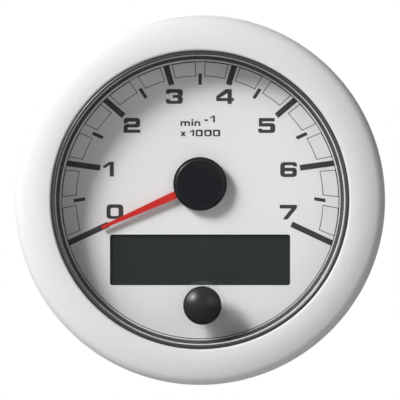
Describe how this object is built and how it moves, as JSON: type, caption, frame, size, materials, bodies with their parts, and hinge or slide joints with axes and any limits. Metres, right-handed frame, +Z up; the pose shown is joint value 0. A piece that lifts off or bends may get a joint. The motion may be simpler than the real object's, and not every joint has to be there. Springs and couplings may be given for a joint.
{
  "type": "boat tachometer",
  "caption": "Round marine tachometer for a dashboard cut-out: white bezel, clear lens, sweep pointer, display window, press button and a spinlock ring nut at the back.",
  "frame": {"origin": "centre of the panel seat, on the housing's axis, in the plane of the panel's front face", "axes": "+Y into the panel, along the housing towards the connectors; +Z up on the dial; +X right as seen from the front"},
  "size_m": [0.104, 0.0545, 0.104],
  "materials": {
    "bezel_white": "satin, very fine grain",
    "black_rubber": "moulded, matte",
    "clear_silicone": "translucent, moulded",
    "clear_lens": "clear, polished, hard coated",
    "bright_ring": "turned, bright",
    "black_surround": "satin black",
    "dial_face": "printed, fine matte white",
    "clear_guide": "clear moulded",
    "display_glass": "dark polarised",
    "sheet_steel": "tinned sheet",
    "contact_rubber": "layered silicone",
    "white_plastic": "moulded white",
    "board_green": "solder mask",
    "lamp_resin": "cast resin",
    "chip_black": "moulded epoxy",
    "screw_steel": "zinc plated",
    "silicon_steel": "stamped laminations",
    "copper_wire": "enamelled winding",
    "gear_plastic": "moulded acetal",
    "ground_steel": "ground",
    "magnet": "sintered",
    "pointer_red": "painted red",
    "cap_black": "satin black",
    "button_black": "smooth silicone over plastic",
    "capacitor": "sleeved can",
    "housing_black": "moulded, fine grain",
    "plug_black": "moulded",
    "gold_contact": "gold plated",
    "nickel": "nickel plated",
    "washer_grey": "moulded acetal",
    "nut_black": "glass filled, matte"
  },
  "bodies": {
    "root": {"front_bezel": "bezel_white", "panel_gasket": "black_rubber", "lens_gasket": "black_rubber", "lens": "clear_lens", "trim_ring": "bright_ring", "dial_surround": "black_surround", "dial": "dial_face", "light_guide": "clear_guide", "lcd_glass": "display_glass", "lcd_frame": "sheet_steel", "lcd_contacts": "contact_rubber", "lcd_backlight": "white_plastic", "face_carrier": "white_plastic", "main_board": "board_green", "board_leds": "lamp_resin", "controller_chip": "chip_black", "carrier_screws": "screw_steel", "motor_base": "white_plastic", "motor_cover": "white_plastic", "motor_stator": "silicon_steel", "motor_coils": "copper_wire", "motor_pins": "gold_contact", "idler_pin": "ground_steel", "button_guide": "chip_black", "button_seal": "clear_silicone", "tact_switch": "chip_black", "link_socket": "plug_black", "link_header": "plug_black", "connector_board": "board_green", "connector_screws": "screw_steel", "capacitors": "capacitor", "transceiver_chip": "chip_black", "housing": "housing_black", "plug_socket": "plug_black", "plug_pins": "gold_contact", "bus_socket": "nickel", "bus_insert": "plug_black", "bus_pins": "gold_contact", "bus_nut": "nickel", "bus_seal": "black_rubber", "vent_plug": "plug_black"},
    "pointer": {"output_gear": "gear_plastic", "pointer_shaft": "ground_steel", "pointer_arm": "pointer_red", "pointer_cap": "cap_black"},
    "idler": {"idler_gear": "gear_plastic"},
    "rotor": {"rotor_magnet": "magnet", "rotor_pinion": "gear_plastic"},
    "button": {"button_cap": "button_black", "switch_plunger": "gear_plastic"},
    "washer": {"nut_washer": "washer_grey"},
    "nut": {"spinlock_nut": "nut_black"}
  },
  "joints": [
    {"name": "pointer_spin", "type": "hinge", "parent": "root", "child": "pointer", "pos_m": [0, 0, 0.0045], "axis": [0, 1, 0], "range_deg": [0, 228]},
    {"name": "idler_spin", "type": "hinge", "parent": "root", "child": "idler", "pos_m": [0.0054, 0, -0.00193], "axis": [0, 1, 0], "range_deg": [-1368, 0]},
    {"name": "rotor_spin", "type": "hinge", "parent": "root", "child": "rotor", "pos_m": [0, 0, -0.00837], "axis": [0, 1, 0], "range_deg": [0, 8208]},
    {"name": "button_press", "type": "slide", "parent": "root", "child": "button", "axis": [0, 1, 0], "range_m": [0, 0.0008], "stiffness_N_per_m": 1200, "springref_m": -0.0005},
    {"name": "washer_slide", "type": "slide", "parent": "root", "child": "washer", "axis": [0, 1, 0], "range_m": [-0.00801, 0.01001]},
    {"name": "nut_spin", "type": "hinge", "parent": "washer", "child": "nut", "pos_m": [0, 0, 0], "axis": [0, 1, 0], "range_deg": [-720, 900]}
  ],
  "couplings": [
    {"joint": "idler_spin", "follows": "pointer_spin", "ratio": -6},
    {"joint": "rotor_spin", "follows": "pointer_spin", "ratio": 36},
    {"joint": "washer_slide", "follows": "nut_spin", "m_per_rad": 0.00063662}
  ]
}
